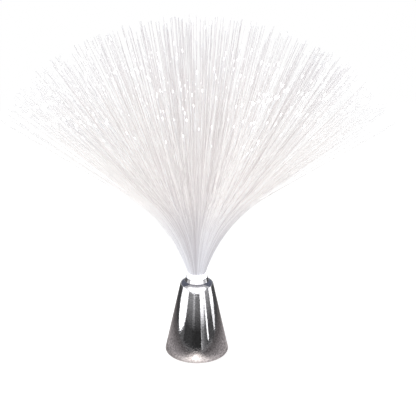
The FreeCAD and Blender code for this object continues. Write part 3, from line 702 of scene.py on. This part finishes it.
def fountain_tree(size):
    """Node tree that places strands in a bundle, opens them into a fountain and makes them round.

    First and Last say which strands of the bundle a piece holds, and Start how far along them
    it begins."""
    tree, value = started_tree("strand_fountain", (
        ("Geometry", "Geometry", None),
        ("Strands", "Int", size.strands),
        ("First", "Int", 0),
        ("Last", "Int", size.strands),
        ("Steps", "Int", 20),
        ("Start", "Float", 0.0),
        ("Thickness", "Float", size.thickness),
        ("Root Height", "Float", FERRULE_LOW[2]),
        ("Neck Height", "Float", FERRULE_HIGH[2]),
        ("Length", "Float", size.length),
        ("Trim", "Float", size.trim),
        ("Uneven", "Float", size.uneven),
        ("Bundle Radius", "Float", size.bundle_radius),
        ("Neck Bend", "Float", neck_bend(size)),
        ("Neck Turn", "Float", size.neck_turn),
        ("Spread Turn", "Float", size.spread_turn),
        ("Spread Bend", "Float", size.spread_bend),
        ("Sway", "Float", size.sway),
        ("Locks", "Float", size.locks),
        ("Seed", "Int", size.seed),
        ("Material", "Material", None),
    ))
    amount = add(tree, "ShaderNodeMath", {0: value["Last"], 1: value["First"]},
                 operation="SUBTRACT")
    line = add(tree, "GeometryNodeCurvePrimitiveLine")
    pointed = add(tree, "GeometryNodeResampleCurve", {"Curve": line, "Count": value["Steps"]})
    copies = add(tree, "GeometryNodeDuplicateElements", {0: pointed, "Amount": amount},
                 domain="SPLINE")
    value["number"] = add(tree, "ShaderNodeMath", {
        0: copies.node.outputs["Duplicate Index"], 1: value["First"]}, operation="ADD")
    value["along"] = add(tree, "GeometryNodeSplineParameter")
    # what is each strand's own: its least and most, and what sets its draw apart from the others
    for name, low, high, offset in (
            ("limp", 0.85, 1.0, 11), ("short", 0.0, 1.0, 23),
            ("drift", -1.0, 1.0, 37), ("chance", 0.0, 1.0, 53)):
        seed = add(tree, "ShaderNodeMath", {0: value["Seed"], 1: offset}, operation="ADD")
        value[name] = add(tree, "FunctionNodeRandomValue", {
            RANDOM_MIN: low, RANDOM_MAX: high, "ID": value["number"], "Seed": seed},
            **RANDOM_NUMBER)

    worked_out(tree, value, BUNDLE_RULE)
    # what neighbours share, from a noise over the bundle's section
    start = add(tree, "ShaderNodeCombineXYZ", {
        "X": value["first_x"], "Y": value["first_y"], "Z": value["Seed"]})
    drawn = add(tree, "ShaderNodeTexNoise", {
        "Vector": start, "Scale": 3.6, "Detail": 2.0}, output="Color")
    parted = add(tree, "ShaderNodeSeparateXYZ", {"Vector": drawn})
    for name, axis, low, high in (
            ("lock_aside", "X", -1.0, 1.0), ("lock_out", "Y", -1.0, 1.0),
            ("lock_tint", "Z", 0.0, 1.0)):
        value[name] = add(tree, "ShaderNodeMapRange", {
            "Value": parted.node.outputs[axis], "From Min": 0.3, "From Max": 0.7,
            "To Min": low, "To Max": high})
    worked_out(tree, value, STRAND_RULE)

    place = add(tree, "ShaderNodeCombineXYZ", {
        "X": value["x"], "Y": value["y"], "Z": value["height"]})
    stored = copies
    for name in ("tint", "run"):
        stored = add(tree, "GeometryNodeStoreNamedAttribute", {
            "Geometry": stored, "Name": name, "Value": value[name]},
            data_type="FLOAT", domain="POINT")
    opened = add(tree, "GeometryNodeSetPosition", {"Geometry": stored, "Position": place})
    section = add(tree, "GeometryNodeCurvePrimitiveCircle", {
        "Resolution": 4, "Radius": value["thick"]}, mode="RADIUS")
    tubes = add(tree, "GeometryNodeCurveToMesh", {
        "Curve": opened, "Profile Curve": section, "Fill Caps": True})
    smooth = add(tree, "GeometryNodeSetShadeSmooth", {"Geometry": tubes})
    return ended_tree(tree, smooth, value["Material"])


def grown(name, tree, mesh=None, **inputs):
    """Plain mesh object from a node tree, with its inputs and the mesh that it starts from."""
    seedling = linked(name + "_seed", mesh or bpy.data.meshes.new(name + "_seed"))
    modifier = seedling.modifiers.new("nodes", "NODES")
    modifier.node_group = tree
    for item in tree.interface.items_tree:
        if item.in_out == "INPUT" and item.name in inputs:
            modifier[item.identifier] = inputs[item.name]
    mesh = worked_mesh(seedling)
    mesh.name = name
    bpy.data.objects.remove(seedling)
    return linked(name, mesh)


class LAMP_OT_fountain(bpy.types.Operator):
    """Grows the strands and their bright ends"""

    bl_idname = "lamp.fountain"
    bl_label = "Strand fountain"

    end_start = 0.994               # how far along a strand its bright end begins
    end_steps = 3
    end_width = 1.35                # of the strand's own

    def execute(self, context):
        size = context.scene.lamp_fountain
        tree = fountain_tree(size)
        strand = drawn_acrylic(size.glow, size.root_glow)
        # inner, middle and outer strands, each for the solids in the same part of the bundle
        stands_for = (
            ("inner", 0.0, 0.2, ("strand_centre", "strands_ring_1", "strands_ring_2")),
            ("middle", 0.2, 0.6, ("strands_ring_3", "strands_ring_4")),
            ("outer", 0.6, 1.0, ("strands_ring_5", "strands_ring_6")),
        )
        for name, first, last, nodes in stands_for:
            piece = grown("strands_" + name, tree, First=round(first * size.strands),
                          Last=round(last * size.strands), Material=strand)
            place_piece(piece, None, "lamp", "acrylic_strand", *nodes)
        ends = grown("strand_ends", tree, Steps=self.end_steps, Start=self.end_start,
                     Thickness=size.thickness * self.end_width,
                     Material=cut_fibre_end(size.tip_glow))
        place_piece(ends, None, "lamp", "acrylic_strand")
        return {"FINISHED"}


# ---------------------------------------------------------------- underside
def ring_tree():
    """Node tree that stands copies of a mesh round the lamp's axis, each turned a little."""
    tree, value = started_tree("copies_round_axis", (
        ("Geometry", "Geometry", None),
        ("Copies", "Int", 3),
        ("Circle Radius", "Float", SCREW_CIRCLE),
        ("First Turn", "Float", 0.0),
        ("Loose Turn", "Float", 0.0),
        ("Seed", "Int", 1),
        ("Material", "Material", None),
    ))
    circle = add(tree, "GeometryNodeMeshCircle", {
        "Vertices": value["Copies"], "Radius": value["Circle Radius"]})
    start = add(tree, "ShaderNodeCombineXYZ", {"Z": value["First Turn"]})
    turned = add(tree, "GeometryNodeTransform", {"Geometry": circle, "Rotation": start})
    loose = add(tree, "FunctionNodeRandomValue", {
        RANDOM_MAX: value["Loose Turn"], "Seed": value["Seed"]}, **RANDOM_NUMBER)
    own = add(tree, "ShaderNodeCombineXYZ", {"Z": loose})
    copies = add(tree, "GeometryNodeInstanceOnPoints", {
        "Points": turned, "Instance": value["Geometry"], "Rotation": own})
    return ended_tree(tree, copies, value["Material"])


def screw_mesh():
    """Self-tapping screw with a pan head and a cross recess, standing head down on the axis."""
    low, seat, point, taper = 0.00085, 0.0019, 0.0109, 0.0012
    head, rounding, shank = 0.0023, 0.0005, 0.001
    cross_width, arm_width, cross_depth, cross_taper = 0.0027, 0.00055, 0.0013, 0.35
    screw = lathe("screw_blank", rounded([
        (0.0, low), (head, low, rounding), (head, seat), (shank, seat), (shank, point - taper),
        (0.0, point),
    ], steps=5), segments=32)
    cross = bpy.data.meshes.new("cross")
    shape = bmesh.new()
    for turn in (0.0, math.pi / 2.0):
        arm = bmesh.ops.create_cube(shape, size=1.0)["verts"]
        for vert in arm:
            narrow = cross_taper if vert.co.z > 0.0 else 1.0
            x = vert.co.x * cross_width * narrow
            y = vert.co.y * arm_width
            vert.co = (x * math.cos(turn) - y * math.sin(turn),
                       x * math.sin(turn) + y * math.cos(turn), low + vert.co.z * cross_depth)
    shape.to_mesh(cross)
    shape.free()
    cutter = linked("cross", cross)
    recess = screw.modifiers.new("recess", "BOOLEAN")
    recess.operation, recess.object = "DIFFERENCE", cutter
    recess.solver, recess.use_self = "EXACT", True
    mesh = worked_mesh(screw)
    bpy.data.objects.remove(cutter)
    bpy.data.objects.remove(screw)
    return mesh


class LAMP_OT_fixings(bpy.types.Operator):
    """Places the cover screws and the rubber feet"""

    bl_idname = "lamp.fixings"
    bl_label = "Screws and feet"

    pad_radius = 0.004
    pad_height = 0.0013
    pad_rounding = 0.0005

    def execute(self, context):
        tree = ring_tree()
        zinc = drawn_metal("zinc_plated_steel", "9c9d98", "c9cac6", 0.32)
        screws = grown("cover_screws_cross", tree, screw_mesh(), **{
            "Circle Radius": SCREW_CIRCLE, "First Turn": FIRST_SCREW, "Loose Turn": math.pi,
            "Material": zinc})
        place_piece(screws, None, "lamp", "zinc_screw", "cover_screws")
        pad = lathe("pad_blank", rounded([
            (0.0, 0.0), (self.pad_radius, 0.0, self.pad_rounding),
            (self.pad_radius, self.pad_height), (0.0, self.pad_height),
        ], steps=4), segments=40)
        rubber = moulded_plastic("moulded_nitrile_rubber", "26262a", "323236", 0.8, 0.4)
        feet = grown("rubber_feet", tree, pad.data, **{
            "Circle Radius": FOOT_CIRCLE, "First Turn": FIRST_FOOT, "Material": rubber})
        bpy.data.objects.remove(pad)
        place_piece(feet, None, "lamp", "foot_rubber", "foot_pads")
        return {"FINISHED"}


class LAMP_OT_fittings(bpy.types.Operator):
    """Finishes the cover, the door, the switch and the pieces inside"""

    bl_idname = "lamp.fittings"
    bl_label = "Underside and inside"

    def execute(self, context):
        dress(moulded_plastic("black_moulded_abs", "1f1f22", "2a2a2d", 0.5),
              "bottom_cover", "battery_door")
        dress(moulded_plastic("black_acetal", "17171a", "202023", 0.35, 0.3), "switch_knob")
        dress(moulded_plastic("grey_moulded_abs", "8b8c8f", "97989b", 0.5), "battery_cage")
        dress(moulded_plastic("glass_filled_nylon", "3c3d40", "4a4b4e", 0.55, 0.3),
              "switch_housing")
        dress(moulded_plastic("white_moulded_abs", "e8e8e4", "f6f6f2", 0.4), "led_reflector")
        dress(moulded_plastic("red_pvc_sleeve", "8d1a1a", "a02222", 0.4), "lead_to_terminal")
        dress(moulded_plastic("black_pvc_sleeve", "1c1c1e", "262628", 0.4), "lead_to_board")
        dress(moulded_plastic("epoxy_package", "1b1b1d", "27272a", 0.6, 0.2),
              "driver_chip", "board_resistors")
        dress(solder_mask(), "circuit_board")
        dress(printed_film(), "battery_cell_1", "battery_cell_2", "battery_cell_3")
        dress(drawn_metal("zinc_plated_screw", "9c9d98", "c9cac6", 0.32), "board_screws")
        dress(drawn_metal("nickel_plated_strip", "b5b0a6", "dad6cc", 0.25, (1.0, 8.0, 8.0)),
              "door_bridge_contact", "door_plate_contact", "battery_terminal", "top_bridge_contact",
              "top_tab_contact")
        dress(drawn_metal("tinned_brass_pin", "b99b5a", "d8c08a", 0.3), "switch_pins")
        dress(drawn_metal("turned_aluminium", "b4b6b9", "d2d3d6", 0.3, (1.0, 1.0, 12.0)),
              "bundle_ferrule")
        dress(cast_epoxy_lens("red_epoxy_lens", "ff6a55"), "led_red")
        dress(cast_epoxy_lens("green_epoxy_lens", "6cf08a"), "led_green")
        dress(cast_epoxy_lens("blue_epoxy_lens", "6f8cff"), "led_blue")
        return {"FINISHED"}


# ---------------------------------------------------------------- stage
LIGHT_WIDTH = 0.9
LIGHT_AIM = Vector((0.0, 0.0, 0.15))

CARD_FADE = (0.026, 0.063)      # heights where a card's lower grey ends and its upper grey begins
CARD_STEPS = 24
CARD_RADIUS = 0.2
CARD_SPACING = 0.0003           # each card stands this much inside the one before
CARD_TOP = 0.074
TABLE_CARD = 0.0003             # height of the table card
TABLE_CARD_RADIUS = CARD_RADIUS + 0.01
TABLE = 0.0006                  # just above the table card
PATCH_FALL = 3.0                # the higher, the faster the warm patch fades from its middle


def background_ray(tree):
    """1 for camera, mirror and see-through rays, which show the background, and 0 for the rest."""
    seen = add(tree, "ShaderNodeLightPath", output="Is Camera Ray")
    shows = seen
    for ray in ("Is Glossy Ray", "Is Transmission Ray"):
        shows = add(tree, "ShaderNodeMath", {0: shows, 1: seen.node.outputs[ray]},
                    operation="MAXIMUM")
    return shows


def stage_sheet(name, verts, faces, material):
    """Sheet of the stage, which is no part of the lamp."""
    mesh = bpy.data.meshes.new(name)
    mesh.from_pydata(verts, [], faces)
    mesh.materials.append(material)
    sheet = linked(name, mesh)
    return sheet


def only_mirrored(sheet):
    """The bright shell reflects this card; it lights nothing and no view shows it."""
    sheet.visible_camera = False
    sheet.visible_diffuse = False
    sheet.visible_transmission = False
    sheet.visible_volume_scatter = False
    sheet.visible_shadow = False


def card_paint(name, foot, head, tone):
    """Light of a card, in two strengths of one tone from its lower to its upper part."""
    material, tree = empty_material(name)
    place = add(tree, "ShaderNodeTexCoord", output="Object")
    height = add(tree, "ShaderNodeSeparateXYZ", {"Vector": place}, output="Z")
    strength = add(tree, "ShaderNodeMapRange", {
        "Value": height, "From Min": CARD_FADE[0], "From Max": CARD_FADE[1],
        "To Min": foot, "To Max": head})
    end_in(tree, "ShaderNodeEmission", {"Color": linear(tone), "Strength": strength})
    return material


def round_card(name, lower, upper, foot, head, tone="ffffff"):
    """Curved card round the lamp, between two edges of a radius, a height and two turns.

    Turns are in degrees from the camera's side to the right."""
    verts = []
    for n in range(CARD_STEPS + 1):
        for radius, height, (first, last) in (lower, upper):
            turn = math.radians(first + (last - first) * n / CARD_STEPS)
            verts.append((radius * math.sin(turn), -radius * math.cos(turn), height))
    faces = [(2 * n, 2 * n + 2, 2 * n + 3, 2 * n + 1) for n in range(CARD_STEPS)]
    only_mirrored(stage_sheet(name, verts, faces, card_paint(name, foot, head, tone)))


def table_card(radius):
    """Speckled grey card on the table round the lamp, with a warm patch of light in front of it.

    It is brighter near the lamp, and shaded right at the lamp's foot."""
    material, tree = empty_material("table_card")
    place = add(tree, "ShaderNodeTexCoord", output="Object")
    speck = add(tree, "ShaderNodeTexNoise", {"Vector": place, "Scale": 140.0, "Detail": 6.0})
    grain = add(tree, "ShaderNodeMapRange", {"Value": speck, "From Min": 0.4, "From Max": 0.6})
    patch = add(tree, "ShaderNodeMapping", {
        "Vector": place, "Location": (0.05, 0.65, 0.0), "Scale": (11.0, 6.5, 1.0)})
    away = add(tree, "ShaderNodeVectorMath", {0: patch}, output="Value", operation="LENGTH")
    fade = add(tree, "ShaderNodeMapRange", {"Value": away, "To Min": 1.65, "To Max": 0.0})
    lit = add(tree, "ShaderNodeMath", {0: fade, 1: PATCH_FALL}, operation="POWER")
    near = add(tree, "ShaderNodeMapping", {"Vector": place, "Location": (0.006, 0.0, 0.0)})
    reach = add(tree, "ShaderNodeVectorMath", {0: near}, output="Value", operation="LENGTH")
    fall = add(tree, "ShaderNodeMapRange", {
        "Value": reach, "From Min": 0.045, "From Max": 0.15, "To Min": 1.85, "To Max": 0.62})
    foot = add(tree, "ShaderNodeMapRange", {
        "Value": reach, "From Min": 0.034, "From Max": 0.05, "To Min": 0.6, "To Max": 1.0})
    end_in(tree, "ShaderNodeAddShader", {
        0: add(tree, "ShaderNodeEmission", {
            "Color": add(tree, "ShaderNodeMix", {
                "Factor": grain, MIX_A: linear("7d7878"), MIX_B: linear("aea8a7")}, **COLOUR_MIX),
            "Strength": add(tree, "ShaderNodeMath", {0: fall, 1: foot}, operation="MULTIPLY")}),
        1: add(tree, "ShaderNodeEmission", {"Color": linear("fff6ee"), "Strength": lit})})
    turns = [math.radians(degrees) for degrees in range(0, 360, 5)]
    verts = [(radius * math.cos(turn), radius * math.sin(turn), TABLE_CARD) for turn in turns]
    only_mirrored(stage_sheet("table_card", verts, [tuple(range(len(verts)))], material))


def soft_light(name, place, power):
    """Square soft light that points at the lamp and isn't mirrored as a square."""
    data = bpy.data.lights.new(name, "AREA")
    data.shape, data.size, data.energy = "SQUARE", LIGHT_WIDTH, power
    light = linked(name, data)
    light.location = place
    light.rotation_euler = (LIGHT_AIM - light.location).to_track_quat("-Z", "Y").to_euler()
    light.visible_glossy = False

# What the shell mirrors, from the left round the front to the right: name, heights of the lower
# and the upper edge, turns along them, and the lower and the upper grey.
CARDS = (
    ("left_edge", TABLE, CARD_TOP, (-180.0, -92.0), (-180.0, -92.0), 0.10, 0.22),
    ("left_dim", TABLE, CARD_TOP, (-92.0, -46.0), (-92.0, -46.0), 0.20, 0.30),
    ("left_window_foot", 0.008, 0.020, (-78.0, -70.0), (-94.0, -58.0), 4.0, 4.0),
    ("left_window_rise", 0.020, 0.03, (-94.0, -58.0), (-101.0, -52.0), 3.0, 3.0),
    ("left_window", 0.03, CARD_TOP, (-101.0, -52.0), (-98.0, -48.0), 2.6, 2.6),
    ("front_left", TABLE, CARD_TOP, (-52.0, -19.0), (-46.0, -19.0), 0.08, 0.50),
    ("front_faint", TABLE, CARD_TOP, (-19.0, -9.0), (-19.0, -9.0), 0.06, 0.95),
    ("front", TABLE, CARD_TOP, (-9.0, 17.0), (-9.0, 17.0), 0.05, 0.36),
    ("right_first", TABLE, CARD_TOP, (19.0, 26.0), (17.0, 40.0), 0.40, 3.4),
    ("right_grey", TABLE, CARD_TOP, (26.0, 38.0), (38.0, 40.0), 0.20, 1.0),
    ("right_dark", TABLE, CARD_TOP, (38.0, 76.0), (38.0, 76.0), 0.13, 0.60),
    ("right_second", 0.008, CARD_TOP, (42.0, 46.0), (39.0, 50.0), 3.0, 2.6),
    ("right_edge", TABLE, CARD_TOP, (76.0, 180.0), (76.0, 180.0), 0.12, 0.14),
    ("right_third", 0.006, 0.03, (75.0, 80.0), (77.0, 104.0), 2.0, 2.0),
    ("right_third_top", 0.03, CARD_TOP, (77.0, 104.0), (79.0, 106.0), 2.6, 2.6),
    ("foot_grey", TABLE, 0.002, (-50.0, 60.0), (-50.0, 60.0), 0.5, 0.5),
)

# What the shoulder mirrors, further out and higher up: name, heights, turns, strength and tone.
HIGH_RADIUS = 0.26
HIGH_CARDS = (
    ("shoulder_glow", 0.078, 1.20, (-64.0, 64.0), 2.6, "ffffff"),
    ("shoulder_left", 0.10, 0.45, (-172.0, -92.0), 0.38, "c6cce0"),
    ("shoulder_right", 0.10, 0.45, (92.0, 172.0), 0.42, "c6cce0"),
    ("shoulder_back", 0.10, 0.60, (172.0, 188.0), 2.6, "ffffff"),
)


class LAMP_OT_stage(bpy.types.Operator):
    """Sets the floor, the soft light, the cards and the camera"""

    bl_idname = "lamp.stage"
    bl_label = "Stage"

    floor_half = 4.0

    def execute(self, context):
        scene = context.scene
        size = scene.lamp_stage
        scene.view_settings.view_transform = "Standard"

        floor_paint, tree = empty_material("pale_floor")
        paint = add(tree, "ShaderNodeBsdfDiffuse", {"Color": linear("dcdcdc")})
        lift = add(tree, "ShaderNodeMath", {0: background_ray(tree), 1: size.floor_lift},
                   operation="MULTIPLY")
        end_in(tree, "ShaderNodeAddShader", {
            0: paint, 1: add(tree, "ShaderNodeEmission", {"Strength": lift})})
        half = self.floor_half
        corners = [(-half, -half, 0.0), (half, -half, 0.0), (half, half, 0.0), (-half, half, 0.0)]
        stage_sheet("floor", corners, [(0, 1, 2, 3)], floor_paint)

        world = bpy.data.worlds.new("soft_room")
        world.use_nodes = True
        tree = world.node_tree
        tree.nodes.clear()
        level = add(tree, "ShaderNodeMapRange", {
            "Value": background_ray(tree), "To Min": size.ambient})
        sky = add(tree, "ShaderNodeBackground", {"Color": linear("ffffff"), "Strength": level})
        add(tree, "ShaderNodeOutputWorld", {"Surface": sky})
        scene.world = world

        table_card(TABLE_CARD_RADIUS)
        for number, (name, low, high, turns_low, turns_high, foot, head) in enumerate(CARDS):
            radius = CARD_RADIUS - CARD_SPACING * number
            round_card(name, (radius, low, turns_low), (radius, high, turns_high), foot, head)
        for name, low, high, turns, strength, tone in HIGH_CARDS:
            round_card(name, (HIGH_RADIUS, low, turns), (HIGH_RADIUS, high, turns),
                       strength, strength, tone)

        soft_light("key_light", (-0.7, -0.8, 1.0), size.key_power)
        soft_light("fill_light", (0.9, -0.5, 0.7), size.fill_power)

        data = bpy.data.cameras.new("camera")
        data.lens, data.sensor_width, data.shift_x = size.lens, 36.0, size.shift
        data.clip_start, data.clip_end = 0.01, 50.0
        camera = linked("camera", data)
        camera.location = (0.0, -size.distance, size.height)
        camera.rotation_euler = (math.pi / 2.0 - size.pitch, 0.0, 0.0)
        scene.camera = camera
        return {"FINISHED"}


# ---------------------------------------------------------------- panel and registration
OPERATORS = (LAMP_OT_shell, LAMP_OT_collar, LAMP_OT_fountain, LAMP_OT_fixings, LAMP_OT_fittings,
             LAMP_OT_stage)


class LAMP_PT_panel(bpy.types.Panel):
    """Lists the lamp's sizes and the steps that build it"""

    bl_idname = "LAMP_PT_panel"
    bl_label = "Fibre-optic lamp"
    bl_space_type = "VIEW_3D"
    bl_region_type = "UI"
    bl_category = "Fibre lamp"

    def draw(self, context):
        layout, scene = self.layout, context.scene
        for group in (scene.lamp_base, scene.lamp_fountain, scene.lamp_stage):
            box = layout.box()
            for name in group.__annotations__:
                box.prop(group, name)
        for operator in OPERATORS:
            layout.operator(operator.bl_idname)


CLASSES = (LampBaseSettings, FountainSettings, StageSettings) + OPERATORS + (LAMP_PT_panel,)


def register():
    """Registers the classes and hangs the settings on the scene."""
    for item in CLASSES:
        bpy.utils.register_class(item)
    bpy.types.Scene.lamp_base = bpy.props.PointerProperty(type=LampBaseSettings)
    bpy.types.Scene.lamp_fountain = bpy.props.PointerProperty(type=FountainSettings)
    bpy.types.Scene.lamp_stage = bpy.props.PointerProperty(type=StageSettings)


def unregister():
    """Takes back what register() did, in reverse."""
    del bpy.types.Scene.lamp_stage
    del bpy.types.Scene.lamp_fountain
    del bpy.types.Scene.lamp_base
    for item in reversed(CLASSES):
        bpy.utils.unregister_class(item)


def main():
    """Builds the lamp and its stage."""
    register()
    bpy.ops.lamp.shell()
    bpy.ops.lamp.collar()
    bpy.ops.lamp.fountain()
    bpy.ops.lamp.fixings()
    bpy.ops.lamp.fittings()
    bpy.ops.lamp.stage()


if __name__ == "__main__":
    main()
